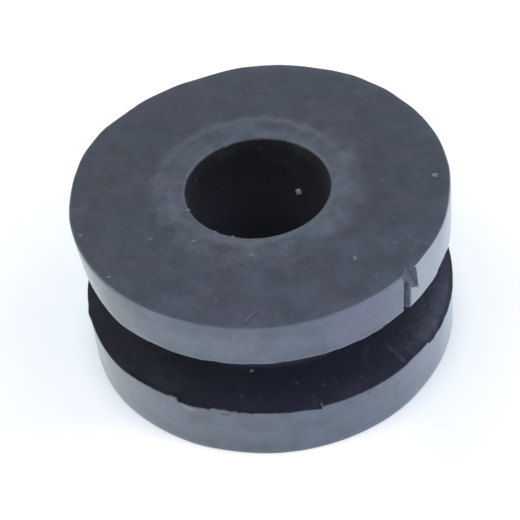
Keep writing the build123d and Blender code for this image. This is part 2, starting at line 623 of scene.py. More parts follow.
# Freshly torn rubber, darkened with painted shade such as a narrower tear would hold.
SHADED_TORN_RUBBER = GrainyFinish(
    name="torn_rubber",
    dark=(0.044, 0.050, 0.064),
    pale=(0.086, 0.098, 0.122),
    grain=Grain(0.14, 4.0, 0.3, 0.7),
    gloss=Gloss(0.5, 0.8),
    matt=(0.3, 0.7, 0.2),
    relief_strength=0.8,
    relief_depth=0.03,
)
# The slit's walls, paler than the torn rubber: painted light where the deep slit lies in shade.
LIT_CUT_RUBBER = replace(
    SHADED_TORN_RUBBER,
    name="cut_rubber",
    dark=(0.080, 0.092, 0.120),
    pale=(0.135, 0.152, 0.195),
    gloss=Gloss(0.6, 0.5),
)


# ---------------------------------------------------------------- the bushing


def new_piece(name: str, shape: bmesh.types.BMesh, material: bpy.types.Material) -> bpy.types.Object:
    """Makes a piece of a shape, which is used up, and links it to the scene."""
    mesh = bpy.data.meshes.new(name)
    shape.to_mesh(mesh)
    shape.free()
    mesh.materials.append(material)
    piece = bpy.data.objects.new(name, mesh)
    bpy.context.scene.collection.objects.link(piece)
    return piece


def smooth_in_metres(piece: bpy.types.Object) -> bpy.types.Object:
    """Brings a piece that was modelled in millimetres to metres, and shades it smooth."""
    piece.data.transform(Matrix.Scale(MM, 4))
    piece.data.shade_smooth()
    return piece


def spin(shape: bmesh.types.BMesh, geometry: list, centre: Point | Vector, angle: float, steps: int) -> None:
    """Turns geometry round an upright axis into a skin, in even steps.

    Args:
        shape: The mesh that holds the geometry and takes the skin.
        geometry: What is turned.
        centre: A point of the axis.
        angle: The whole turn, in radians.
        steps: The number of steps.
    """
    bmesh.ops.spin(
        shape,
        geom=geometry,
        cent=centre,
        axis=UP,
        dvec=ORIGIN,
        angle=angle,
        steps=steps,
        use_merge=False,
        use_normal_flip=False,
        use_duplicate=False,
    )


@dataclass(frozen=True)
class Corner:
    """A point of the section, how far it is rounded, and how finely the run after it is divided."""

    radius: float
    height: float
    step: float
    rounding: float = 0.0
    segments: int = 3


@dataclass(frozen=True)
class Section:
    """Half the bushing's section, from the bore outwards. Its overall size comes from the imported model."""

    rim_radius: float
    upper_face: float
    bore_radius: float
    groove_floor: float = 3.4
    groove_width: float = 4.2
    waist_radius: float = 7.0
    mouth_rounding: float = 0.2
    foot_rounding: float = 0.15
    lip_rounding: float = 0.05
    root_rounding: float = 0.3
    face_rounding: float = 0.15
    lip_band: float = 0.4
    ring_reach: float = 6.6

    @property
    def groove_ceiling(self) -> float:
        """The height of the upper flange's lower face."""
        return self.groove_floor + self.groove_width

    def corners(self) -> list[Corner]:
        """The points in order round the section, starting at the foot of the bore."""
        rim, band = self.rim_radius, self.lip_band
        floor, ceiling, top = self.groove_floor, self.groove_ceiling, self.upper_face
        return [
            Corner(self.bore_radius, 0.0, 0.9, self.mouth_rounding),
            Corner(rim, 0.0, 0.3, self.foot_rounding),
            Corner(rim, floor - band, 0.08),
            Corner(rim, floor, 0.08, self.lip_rounding, 2),
            Corner(rim - band, floor, 0.35),
            Corner(self.waist_radius, floor, 0.6, self.root_rounding),
            Corner(self.waist_radius, ceiling, 0.4, self.root_rounding),
            Corner(rim - band, ceiling, 0.1),
            Corner(rim, ceiling, 0.1, self.lip_rounding, 2),
            Corner(rim, ceiling + band, 0.2),
            Corner(rim, top, 0.3, self.face_rounding, 6),
            Corner(self.ring_reach, top, 0.16),
            Corner(self.bore_radius, top, 0.9, self.mouth_rounding, 4),
        ]


class Ease(Enum):
    """How a stretch of wear begins and ends: the share of it that each end takes to fade."""

    SHARP = 0.0
    FIRM = 0.15
    SOFT = 0.5


SHARP, FIRM, SOFT = Ease


@dataclass(frozen=True)
class Stretch:
    """A stretch of wear round the bushing: its azimuths, and its amount at the first one and the last.

    The amount is the same all along if the last one is left out.
    """

    start: float
    end: float
    first: float
    last: float | None = None
    ease: Ease = SOFT

    def at(self, azimuth: float) -> float:
        """Its amount at that azimuth: nothing outside the stretch."""
        share = azimuth_between(azimuth, self.start) / (self.end - self.start)
        if not 0.0 <= share <= 1.0:
            return 0.0
        amount = self.first if self.last is None else self.first + (self.last - self.first) * share
        ramp = self.ease.value
        if ramp > 0.0:
            amount *= smooth_step(0.0, ramp, share) * smooth_step(0.0, ramp, 1.0 - share)
        return amount


@dataclass(frozen=True)
class Column:
    """What the wear comes to at one azimuth."""

    upper_swell: float
    lower_swell: float
    flash_up: float
    flap_out: float
    lip_worn: float
    upper_lip_worn: float
    edge_worn: float
    rim_lean: float
    crown: float
    bead_half: float
    mouth_burr: float


@dataclass(frozen=True)
class Wear:
    """Where the moulding departs from its drawn section: out of round, with flash, nibbles and rubbed lips.

    The two outlines push a flange out or in, and the others raise, lower or push its edges and lips. A reach
    says how far from its edge a kind of wear is felt: whole up to its first value, and gone at its last.
    """

    section: Section
    upper_outline: tuple[Stretch, ...] = (
        Stretch(-30.0, 10.0, -0.11),
        Stretch(10.0, 50.0, 0.07),
        Stretch(30.0, 70.0, 0.17),
        Stretch(50.0, 90.0, 0.14),
        Stretch(70.0, 110.0, 0.07),
        Stretch(90.0, 130.0, -0.09),
        Stretch(130.0, 170.0, 0.15),
        Stretch(-47.9, -38.0, 0.08, 0.0, SHARP),
    )
    lower_outline: tuple[Stretch, ...] = (
        Stretch(-165.0, -135.0, 0.05),
        Stretch(-122.0, -88.0, -0.04),
        Stretch(-80.0, -38.0, 0.04),
        Stretch(30.0, 80.0, -0.04),
        Stretch(100.0, 150.0, 0.05),
    )
    flash: tuple[Stretch, ...] = (
        Stretch(-142.0, -126.0, 0.04, 0.20, SHARP),
        Stretch(-126.0, -122.8, 0.20, 0.32, SHARP),
        Stretch(-122.8, -113.0, 0.02, 0.04, SHARP),
        Stretch(-113.0, -103.0, 0.18, 0.14, FIRM),
        Stretch(-103.0, -89.0, 0.12, 0.04, SHARP),
        Stretch(36.0, 58.0, 0.10, 0.14, SHARP),
        Stretch(140.0, 163.0, 0.12, 0.04, SHARP),
    )
    flaps: tuple[Stretch, ...] = (
        Stretch(-122.0, -115.0, 0.05, 0.10),
        Stretch(86.0, 96.0, 0.02, 0.14, SHARP),
        Stretch(-176.0, -168.0, 0.04, 0.10),
    )
    rubbed_lip: tuple[Stretch, ...] = (
        Stretch(-84.5, -78.4, 0.03, 0.20, FIRM),
        Stretch(-76.5, -47.5, 0.02, 0.10, FIRM),
        Stretch(-45.0, -38.5, 0.03, 0.13, SHARP),
        Stretch(-38.5, -32.0, 0.36, 0.46, SHARP),
        Stretch(-32.0, -12.0, 0.46, 0.40, SHARP),
        Stretch(-12.0, 6.0, 0.40, 0.0, SHARP),
        Stretch(2.0, 24.0, 0.12, 0.18),
        Stretch(66.0, 84.0, 0.14, 0.10),
        Stretch(100.0, 132.0, 0.10, 0.16),
    )
    rubbed_upper_lip: tuple[Stretch, ...] = (
        Stretch(-63.2, -61.4, 0.02),
        Stretch(-58.4, -56.6, 0.03),
        Stretch(-74.8, -73.0, 0.02),
        Stretch(-128.0, -52.0, -0.08, ease=FIRM),
        Stretch(-172.0, -138.0, 0.12),
        Stretch(-34.0, -21.0, 0.20),
        Stretch(14.0, 44.0, 0.10, 0.14),
        Stretch(88.0, 112.0, 0.12, 0.06),
        Stretch(160.0, 176.0, 0.08, 0.10),
    )
    rubbed_edge: tuple[Stretch, ...] = (
        Stretch(-146.0, -86.0, 0.04, 0.03),
        Stretch(-44.0, -8.0, 0.03, ease=FIRM),
    )
    leaning_rim: tuple[Stretch, ...] = (Stretch(-196.0, -138.0, 0.24),)
    mouth_burrs: tuple[Stretch, ...] = (
        Stretch(-116.0, -111.0, 0.10),
        Stretch(-165.0, -160.0, 0.12, 0.06),
        Stretch(-131.0, -126.0, 0.06, 0.08),
        Stretch(108.0, 116.0, 0.05, 0.08),
    )
    bead_height: float = 0.11
    bead_crown: float = 4.95
    crown_swing: float = 0.42
    crown_azimuth: float = 140.0
    bead_half: float = 0.62
    bead_swing: float = 0.12
    bore_drift: Point = (-0.09, 0.05, 0.0)
    ripple: float = 0.014
    ragged: float = 0.05
    noise_radius: float = 3.0
    upper_lip_reach: Band = (0.0, 0.3)
    upper_lip_inward: float = 0.6
    edge_reach: Band = (0.05, 1.0)
    mouth_reach: Band = (0.1, 0.6)
    lip_reach: Band = (0.0, 0.9)
    lip_depth: Band = (0.0, 0.5)
    flash_reach: Band = (0.06, 0.26)
    flash_depth: Band = (0.0, 0.4)
    flap_reach: Band = (0.0, 0.5)
    flap_depth: Band = (0.1, 0.4)

    @lru_cache(maxsize=None)
    def column(self, azimuth: float) -> Column:
        """Adds up the wear at one azimuth.

        Args:
            azimuth: The azimuth.

        Returns:
            What every kind of wear comes to there.
        """
        spot = polar(azimuth, self.noise_radius, 0.0)

        def total(stretches: tuple[Stretch, ...]) -> float:
            """The amounts of all these stretches, added up."""
            return sum(stretch.at(azimuth) for stretch in stretches)

        def wander(fineness: float, swing: float = 1.0, shift: Point = ORIGIN) -> float:
            """Noise of that swing, which changes the faster the finer it is."""
            return swing * noise.noise(spot * fineness + Vector(shift))

        jagged = wander(9.0) + wander(23.0, 0.6)
        uneven = 1.0 + wander(4.0, 0.5)
        flash, upper_lip = total(self.flash), total(self.rubbed_upper_lip)
        toward_crown = math.cos(math.radians(azimuth - self.crown_azimuth))
        return Column(
            upper_swell=total(self.upper_outline) + wander(1.3, 0.02),
            lower_swell=total(self.lower_outline) + wander(1.1, 0.02, (5.0, 0.0, 0.0)),
            flash_up=flash + self.ragged * jagged * (1.0 if flash > 0.01 else 0.25),
            flap_out=total(self.flaps) * uneven,
            lip_worn=total(self.rubbed_lip) * uneven + max(0.0, 0.3 * self.ragged * jagged),
            upper_lip_worn=upper_lip * uneven + max(0.0, 0.5 * self.ragged * (jagged - 0.3)),
            edge_worn=total(self.rubbed_edge) + 0.03 * max(0.0, 0.5 + wander(2.2)),
            rim_lean=total(self.leaning_rim),
            crown=self.bead_crown + self.crown_swing * toward_crown + wander(2.6, 0.10),
            bead_half=self.bead_half + self.bead_swing * toward_crown + wander(3.4, 0.16, (0.0, 7.0, 0.0)),
            mouth_burr=total(self.mouth_burrs) + 0.02 * jagged,
        )

    def moved(self, place: Vector, normal: Vector) -> Vector:
        """Where a point of the clean skin ends up.

        Args:
            place: The point on the clean skin.
            normal: The skin's direction there.

        Returns:
            The worn point.
        """
        section = self.section
        radius, height = place.xy.length, place.z
        column = self.column(round(math.degrees(math.atan2(place.y, place.x)), 2))
        out = up = 0.0
        if height > section.groove_ceiling - 0.01:
            out, up = self.upper_shift(column, radius, height)
        elif height < section.groove_floor + 0.01:
            out, up = self.lower_shift(column, radius, height)
        drift = fade_out(section.bore_radius, section.ring_reach, radius)
        wave = self.ripple * (noise.noise(place * 0.55) + 0.5 * noise.noise(place * 1.7))
        outward = Vector((place.x / radius, place.y / radius, 0.0))
        return place + outward * out + UP * up + Vector(self.bore_drift) * drift + normal * wave

    def upper_shift(self, column: Column, radius: float, height: float) -> tuple[float, float]:
        """How far the wear moves a point of the upper flange.

        Args:
            column: The wear at its azimuth.
            radius: Its radius.
            height: Its height.

        Returns:
            How far out it moves, and how far up.
        """
        section = self.section
        inset, below = section.rim_radius - radius, section.upper_face - height
        flange_share = smooth_step(section.waist_radius, section.rim_radius, radius)
        drop = below / (section.upper_face - section.groove_ceiling)
        near_lip = fade_out(*self.upper_lip_reach, math.hypot(inset, height - section.groove_ceiling))
        near_edge = fade_out(*self.edge_reach, math.hypot(inset, below))
        near_mouth = fade_out(*self.mouth_reach, math.hypot(radius - section.bore_radius, below))
        out = (column.upper_swell - column.rim_lean * drop) * flange_share
        out -= self.upper_lip_inward * column.upper_lip_worn * near_lip
        out -= column.edge_worn * near_edge + column.mouth_burr * near_mouth
        up = column.upper_lip_worn * near_lip - column.edge_worn * near_edge
        if below < 0.02:
            up += self.bead_height * fade_out(0.0, 1.0, abs(radius - column.crown) / column.bead_half)
        return out, up

    def lower_shift(self, column: Column, radius: float, height: float) -> tuple[float, float]:
        """How far the wear moves a point of the lower flange.

        Args:
            column: The wear at its azimuth.
            radius: Its radius.
            height: Its height.

        Returns:
            How far out it moves, and how far up.
        """
        section = self.section
        inset, below = section.rim_radius - radius, max(0.0, section.groove_floor - height)
        flange_share = smooth_step(section.waist_radius, section.rim_radius, radius)
        flap = column.flap_out * fade_out(*self.flap_reach, inset) * fade_out(*self.flap_depth, below)
        flash = column.flash_up * fade_out(*self.flash_reach, inset) * fade_out(*self.flash_depth, below)
        worn = column.lip_worn * fade_out(*self.lip_reach, inset) * fade_out(*self.lip_depth, below)
        return column.lower_swell * flange_share + flap, flash - worn


@dataclass(frozen=True)
class Nick:
    """A V-shaped tear in the rim, whose two rough walls meet along a straight bottom.

    Each point is an azimuth, a radius and a height.
    """

    bottom: tuple[Point, Point]
    walls: tuple[Point, Point]
    finish: GrainyFinish = SHADED_TORN_RUBBER
    overruns: tuple[float, float] = (0.8, 0.8)
    reach: float = 2.2
    cuts: int = 26
    roughness: float = 0.05
    crumb: float = 0.3

    def cutter(self, seed: float) -> bmesh.types.BMesh:
        """Makes the solid that the tear takes out of the bushing.

        Args:
            seed: Shifts the roughness, so that no two tears are the same.

        Returns:
            A closed wedge with rough walls, in millimetres.
        """
        first, last = (polar(*point) for point in self.bottom)
        run = (last - first).normalized()
        start = first - self.overruns[0] * run
        wedge = bmesh.new()
        tips = [wedge.verts.new(start)]
        for point in self.walls:
            side = polar(*point) - first
            side = (side - side.dot(run) * run).normalized()
            tips.append(wedge.verts.new(start + self.reach * side))
        face = wedge.faces.new(tips)
        bottom = bmesh.ops.extrude_face_region(wedge, geom=[face])
        length = (last - first).length + sum(self.overruns)
        moved = [item for item in bottom["geom"] if isinstance(item, bmesh.types.BMVert)]
        bmesh.ops.translate(wedge, vec=run * length, verts=moved)
        bmesh.ops.recalc_face_normals(wedge, faces=wedge.faces)
        bmesh.ops.subdivide_edges(wedge, edges=wedge.edges[:], cuts=self.cuts, use_grid_fill=True)
        bmesh.ops.triangulate(wedge, faces=wedge.faces)
        wedge.normal_update()
        shift = Vector((seed, -seed, 2.0 * seed))
        for vert in wedge.verts:
            spot = vert.co / self.crumb + shift
            rough = noise.noise(spot) + 0.5 * noise.noise(spot * 2.7)
            vert.co += vert.normal * self.roughness * rough
        return wedge

    def tear(self, piece: bpy.types.Object, seed: float) -> None:
        """Tears the piece, and leaves the tear's walls in their own material.

        Args:
            piece: The piece, in millimetres.
            seed: Shifts the roughness, so that no two tears are the same.
        """
        cutter = new_piece("cutter", self.cutter(seed), self.finish.material())
        tear = piece.modifiers.new("tear", "BOOLEAN")
        tear.operation = "DIFFERENCE"
        tear.solver = "EXACT"
        tear.material_mode = "TRANSFER"
        tear.object = cutter
        depsgraph = bpy.context.evaluated_depsgraph_get()
        torn = bpy.data.meshes.new_from_object(piece.evaluated_get(depsgraph), depsgraph=depsgraph)
        piece.modifiers.clear()
        spent, piece.data = (piece.data, cutter.data), torn
        torn.name = piece.name
        bpy.data.objects.remove(cutter)
        for mesh in spent:
            bpy.data.meshes.remove(mesh)


@dataclass(frozen=True)
class BushingSkin:
    """The whole rubber moulding as one closed skin, with a chip and a slit torn in its upper rim."""

    section: Section
    wear: Wear
    finish: RubberFinish = RubberFinish()
    steps_round: int = 672
    crease: float = 42.0
    nicks: tuple[Nick, ...] = (
        Nick(
            bottom=((-46.9, 10.17, 10.2), (-44.2, 10.5, 8.77)),
            walls=((-51.0, 10.5, 10.05), (-44.6, 10.5, 10.2)),
        ),
        Nick(
            bottom=((-48.9, 10.15, 9.7), (-49.2, 10.1, 7.6)),
            walls=((-50.0, 10.5, 8.5), (-47.9, 10.5, 8.5)),
            finish=LIT_CUT_RUBBER,
            overruns=(0.0, 0.8),
            roughness=0.035,
        ),
    )
    first_seed: float = 3.0

    def build(self) -> bpy.types.Object:
        """Turns, wears, tears and dresses the skin.

        Returns:
            The finished piece, in metres.
        """
        skin = bmesh.new()
        self.draw_section(skin)
        self.turn(skin)
        skin.normal_update()
        worn = [self.wear.moved(vert.co, vert.normal) for vert in skin.verts]
        for vert, place in zip(skin.verts, worn):
            vert.co = place
        piece = new_piece("rubber_moulding", skin, self.finish.material(self.section))
        for index, nick in enumerate(self.nicks):
            nick.tear(piece, self.first_seed + index)
        smooth_in_metres(piece).data.set_sharp_from_angle(angle=math.radians(self.crease))
        return piece

    def draw_section(self, skin: bmesh.types.BMesh) -> None:
        """Draws the section as a closed wire, rounds its corners and divides its straight runs."""
        corners = self.section.corners()
        spacing = skin.edges.layers.float.new("spacing")
        points = [skin.verts.new((corner.radius, 0.0, corner.height)) for corner in corners]
        for start, end, corner in zip(points, points[1:] + points[:1], corners):
            skin.edges.new((start, end))[spacing] = corner.step
        for point, corner in zip(points, corners):
            if corner.rounding > 0.0:
                bmesh.ops.bevel(
                    skin,
                    geom=[point],
                    offset=corner.rounding,
                    offset_type="OFFSET",
                    segments=corner.segments,
                    profile=0.5,
                    affect="VERTICES",
                    material=-1,
                )
        for edge in list(skin.edges):
            cuts = math.ceil(edge.calc_length() / edge[spacing]) - 1 if edge[spacing] > 0.0 else 0
            if cuts > 0:
                bmesh.ops.subdivide_edges(skin, edges=[edge], cuts=cuts)

    def turn(self, skin: bmesh.types.BMesh) -> None:
        """Turns the section a quarter round the bore, and mirrors the quarter twice into a closed skin."""
        spin(skin, skin.verts[:] + skin.edges[:], ORIGIN, math.pi / 2.0, self.steps_round // 4)
        for axis in ("Y", "X"):
            geometry = skin.verts[:] + skin.edges[:] + skin.faces[:]
            bmesh.ops.mirror(skin, geom=geometry, merge_dist=0.0001, axis=axis)
        bmesh.ops.recalc_face_normals(skin, faces=skin.faces)


# ---------------------------------------------------------------- dust, lint and crumbs


class Site(Enum):
    """The surface that a speck lies on."""

    FACE = "upper face"
    RIM = "rim"
    GROOVE = "groove floor"
    BORE = "bore wall"


FACE, RIM, GROOVE, BORE = Site


@dataclass(frozen=True)
class Speck:
    """One speck: its site and azimuth, its radius on a level face or its height on a wall, and its size."""

    site: Site
    azimuth: float
    offset: float
    length: float
    width: float
    heading: float = 0.0

    def stand(self, ground: BVHTree, section: Section) -> Matrix:
        """Finds where the speck lies.

        Args:
            ground: The finished skin, in millimetres.
            section: The bushing's section.

        Returns:
            A frame on the surface, with X along the rim, Y outwards or upwards, and Z off the surface.
        """
        outward = polar(self.azimuth, 1.0, 0.0)
        if self.site is RIM:
            origin, aim, level = polar(self.azimuth, 2.0 * section.rim_radius, self.offset), -outward, UP
        elif self.site is BORE:
            origin, aim, level = self.offset * UP, outward, UP
        else:
            middle = 0.5 * (section.groove_floor + section.groove_ceiling)
            start = middle if self.site is GROOVE else 2.0 * section.upper_face
            origin, aim, level = polar(self.azimuth, self.offset, start), -UP, outward
        place, normal, _, _ = ground.ray_cast(origin, aim)
        along = level.cross(normal).normalized()
        frame = Matrix((along, normal.cross(along), normal)).transposed().to_4x4()
        return Matrix.Translation(place) @ frame @ Matrix.Rotation(math.radians(self.heading), 4, "Z")


@dataclass(frozen=True)
class Scatter:
    """Many small specks strewn at random over one site."""

    site: Site
    count: int
    azimuths: Band
    offsets: Band
    sizes: Band
    longest: float = 1.8

    def specks(self, draw: random.Random) -> list[Speck]:
        """Draws the specks."""
        return [
            Speck(
                self.site,
                draw.uniform(*self.azimuths),
                draw.uniform(*self.offsets),
                draw.uniform(*self.sizes) * draw.uniform(1.0, self.longest),
                draw.uniform(*self.sizes),
                draw.uniform(0.0, 180.0),
            )
            for _ in range(self.count)
        ]


@dataclass(frozen=True)
class Debris:
    """Specks of one kind of dirt, as one piece."""

    name: str
    finish: GrainyFinish
    specks: tuple[Speck, ...]
    strewn: tuple[Scatter, ...] = ()
    seed: int = 1
    flatness: float = 0.4
    unevenness: float = 0.25

    def build(self, ground: BVHTree, section: Section) -> bpy.types.Object:
        """Lays every speck on the skin.

        Args:
            ground: The finished skin, in millimetres.
            section: The bushing's section.

        Returns:
            The finished piece, in metres.
        """
        draw = random.Random(self.seed)
        heap = bmesh.new()
        specks = list(self.specks) + [speck for scatter in self.strewn for speck in scatter.specks(draw)]
        for number, speck in enumerate(specks):
            thickness = self.flatness * speck.width
            size = Matrix.Diagonal((0.5 * speck.length, 0.5 * speck.width, 0.5 * thickness, 1.0))
            shift = Vector((number, 0.0, self.seed))
            grain = bmesh.ops.create_icosphere(heap, subdivisions=2, radius=1.0)["verts"]
            for vert in grain:
                vert.co *= 1.0 + self.unevenness * noise.noise(vert.co * 1.6 + shift)
            bmesh.ops.transform(heap, matrix=speck.stand(ground, section) @ size, verts=grain)
        return smooth_in_metres(new_piece(self.name, heap, self.finish.material()))


@dataclass(frozen=True)
class Hair:
    """A short bent hair of lint that lies on the upper face. Its ends are azimuths and radii."""

    start: tuple[float, float]
    end: tuple[float, float]
    bend: float
    thickness: float
    lift: float = 0.02
    steps: int = 10
    tip: float = 0.25


@dataclass(frozen=True)
class Lint:
    """The hairs of lint, as one piece."""

    finish: GrainyFinish
    hairs: tuple[Hair, ...]
    name: str = "lint_hairs"
    sides: int = 6

    def build(self, ground: BVHTree, section: Section) -> bpy.types.Object:
        """Lays every hair on the skin.

        Args:
            ground: The finished skin, in millimetres.
            section: The bushing's section.

        Returns:
            The finished piece, in metres.
        """
        tangle = bmesh.new()
        for hair in self.hairs:
            self.lay(tangle, hair, ground, section)
        bmesh.ops.recalc_face_normals(tangle, faces=tangle.faces)
        return smooth_in_metres(new_piece(self.name, tangle, self.finish.material()))

    def lay(self, tangle: bmesh.types.BMesh, hair: Hair, ground: BVHTree, section: Section) -> None:
        """Bends one hair round an arc from its start to its end, and lays it on the skin.

        Args:
            tangle: The mesh that takes the hair.
            hair: The hair.
            ground: The finished skin, in millimetres.
            section: The bushing's section.
        """
        first, last = polar(*hair.start, 0.0), polar(*hair.end, 0.0)
        chord = last - first
        angle = math.radians(hair.bend)
        radius = 0.5 * chord.length / math.sin(0.5 * angle)
        across = Vector((-chord.y, chord.x, 0.0)).normalized()
        centre = 0.5 * (first + last) + across * radius * math.cos(0.5 * angle)
        spoke = (first - centre).normalized()
        heading = Matrix((spoke, UP, spoke.cross(UP))).transposed()
        end = bmesh.ops.create_circle(
            tangle,
            cap_ends=True,
            segments=self.sides,
            radius=0.5 * hair.thickness,
            matrix=Matrix.Translation(first) @ heading.to_4x4(),
        )["verts"]
        faces = list({face for vert in end for face in vert.link_faces})
        edges = list({edge for vert in end for edge in vert.link_edges})
        before = set(tangle.verts) - set(end)
        spin(tangle, end + edges + faces, centre, angle, hair.steps)
        for vert in set(tangle.verts) - before:
            along = math.atan2((vert.co - centre).cross(spoke).length, (vert.co - centre).dot(spoke)) / angle
            axis = centre + radius * (vert.co - centre).xy.to_3d().normalized()
            belly = math.sin(math.pi * min(1.0, max(0.0, along))) ** 0.5
            vert.co = axis + (vert.co - axis) * (hair.tip + (1.0 - hair.tip) * belly)
            hit = ground.ray_cast(axis + 2.0 * section.upper_face * UP, -UP)[0]
            vert.co.z += hit.z + hair.lift


PALE_DUST = Debris(
    name="pale_dust",
    finish=GrainyFinish("pale_dust", (0.11, 0.125, 0.145), (0.21, 0.23, 0.26)),
    specks=(
        Speck(FACE, -4.3, 9.56, 0.36, 0.35, 20.0),
        Speck(FACE, -54.6, 7.74, 0.36, 0.22, 55.0),
        Speck(FACE, -152.4, 6.83, 0.31, 0.16, 40.0),
        Speck(FACE, -135.6, 5.37, 0.36, 0.19, 44.0),
        Speck(FACE, -162.6, 4.22, 0.24, 0.19, 70.0),
        Speck(FACE, -127.7, 4.34, 0.26, 0.21, 30.0),
        Speck(FACE, -113.8, 4.16, 0.17, 0.16, 80.0),
        Speck(FACE, -98.7, 5.29, 0.31, 0.19, 8.0),
        Speck(FACE, -166.9, 10.10, 0.26, 0.22, 60.0),
        Speck(FACE, -145.9, 10.07, 0.26, 0.16, 80.0),
        Speck(RIM, -70.6, 2.98, 0.32, 0.17, 10.0),
        Speck(RIM, -64.2, 3.10, 0.26, 0.15, 30.0),
        Speck(RIM, -71.6, 2.82, 0.14, 0.10),
        Speck(GROOVE, -102.0, 7.40, 0.28, 0.20, 50.0),
    ),
    strewn=(
        Scatter(FACE, 16, (-175.0, -95.0), (4.4, 5.6), (0.04, 0.08)),
        Scatter(FACE, 60, (-180.0, 180.0), (5.0, 10.0), (0.03, 0.06)),
        Scatter(RIM, 16, (-180.0, 180.0), (0.6, 3.0), (0.03, 0.07)),
        Scatter(RIM, 12, (-180.0, 180.0), (8.0, 9.6), (0.03, 0.06)),
        Scatter(GROOVE, 10, (-20.0, 200.0), (7.8, 10.2), (0.03, 0.07)),
    ),
    seed=7,
)

GREY_DUST = Debris(
    name="grey_dust",
    finish=GrainyFinish("grey_dust", (0.055, 0.065, 0.078), (0.10, 0.115, 0.135)),
    specks=(
        Speck(FACE, 27.3, 6.72, 0.24, 0.22),
        Speck(FACE, 38.2, 8.12, 0.22, 0.21, 50.0),
        Speck(FACE, 51.1, 8.34, 0.24, 0.19, 20.0),
        Speck(FACE, -113.6, 6.30, 0.31, 0.32, 10.0),
        Speck(FACE, -109.2, 8.80, 0.31, 0.29, 80.0),
        Speck(FACE, -71.7, 6.79, 0.24, 0.22, 60.0),
        Speck(FACE, -77.2, 6.73, 0.19, 0.19),
        Speck(FACE, -28.6, 7.83, 0.41, 0.16, 40.0),
        Speck(FACE, -25.5, 9.02, 0.43, 0.16, 55.0),
        Speck(FACE, -72.5, 5.26, 0.36, 0.29, 80.0),
        Speck(FACE, 111.2, 5.26, 0.36, 0.19, 10.0),
        Speck(FACE, 129.2, 6.09, 0.31, 0.19, 30.0),
        Speck(FACE, 115.0, 5.91, 0.41, 0.26),
        Speck(RIM, -107.8, 3.22, 0.60, 0.09, 2.0),
        Speck(BORE, 75.0, 8.3, 0.16, 0.10, 30.0),
        Speck(BORE, 120.0, 7.1, 0.18, 0.10, 70.0),
        Speck(BORE, 87.0, 9.3, 0.12, 0.10, 10.0),
    ),
    strewn=(
        Scatter(FACE, 50, (-180.0, 180.0), (4.6, 10.0), (0.06, 0.12)),
        Scatter(GROOVE, 9, (-10.0, 210.0), (7.8, 10.2), (0.05, 0.10)),
        Scatter(BORE, 14, (-180.0, 180.0), (1.0, 9.4), (0.04, 0.09)),
    ),
    seed=11,
    flatness=0.22,
)

BORE_GRIT = Debris(
    name="bore_grit",
    finish=GrainyFinish("sandy_grit", (0.42, 0.40, 0.31), (0.72, 0.70, 0.56), Grain(0.1, 3.0, 0.35, 0.65)),
    specks=(Speck(BORE, 55.2, 6.42, 0.52, 0.42, 35.0),),
    flatness=0.8,
    unevenness=0.45,
)

LINT = Lint(
    finish=GrainyFinish("lint", (0.085, 0.095, 0.112), (0.14, 0.155, 0.18), Grain(0.3, 3.0, 0.35, 0.65)),
    hairs=(
        Hair((-94.6, 9.36), (-98.8, 10.20), 50.0, 0.10),
        Hair((150.0, 8.0), (158.0, 7.6), 70.0, 0.03),
        Hair((80.0, 7.2), (86.0, 8.0), 60.0, 0.03),
    ),
)


# ---------------------------------------------------------------- the studio


@dataclass(frozen=True)
class Camera:
    """The camera that looks down on the bushing, a little rolled. Its clip range is in metres."""

    elevation: float = 45.0
    roll: float = -6.52
    distance: float = 92.8
    lens: float = 113.4
    sensor: float = 36.0
    aim_height: float = 5.25
    aim_right: float = 0.357
    aim_up: float = 0.557
    clip: Band = (0.005, 20.0)

    def place(self) -> None:
        """Adds the camera and makes it the scene's own."""
        tilt, roll = math.radians(self.elevation), math.radians(self.roll)
        forward = Vector((0.0, math.cos(tilt), -math.sin(tilt)))
        level_up = Vector((0.0, math.sin(tilt), math.cos(tilt)))
        level_right = Vector((1.0, 0.0, 0.0))
        right = math.cos(roll) * level_right + math.sin(roll) * level_up
        up = math.cos(roll) * level_up - math.sin(roll) * level_right
        stand = self.aim_height * UP - self.distance * forward - self.aim_right * right - self.aim_up * up
        turn = Matrix((right, up, -forward)).transposed().to_4x4()
        data = bpy.data.cameras.new("studio_camera")
        data.lens = self.lens
        data.sensor_width = self.sensor
        data.clip_start, data.clip_end = self.clip
        camera = bpy.data.objects.new("studio_camera", data)
        camera.matrix_world = Matrix.Translation(stand * MM) @ turn
        bpy.context.scene.collection.objects.link(camera)
        bpy.context.scene.camera = camera


@dataclass(frozen=True)
class Lamp:
    """A soft round lamp that points at the bushing. Its place and size are in metres."""

    name: str
    place: Point
    size: float
    watts: float
    colour: Colour

    def hang(self) -> None:
        """Adds the lamp."""
        data = bpy.data.lights.new(self.name, "AREA")
        data.shape = "DISK"
        data.size = self.size
        data.energy = self.watts
        data.color = self.colour
        lamp = bpy.data.objects.new(self.name, data)
        lamp.location = self.place
        lamp.rotation_euler = Vector(self.place).to_track_quat("Z", "Y").to_euler()
        bpy.context.scene.collection.objects.link(lamp)


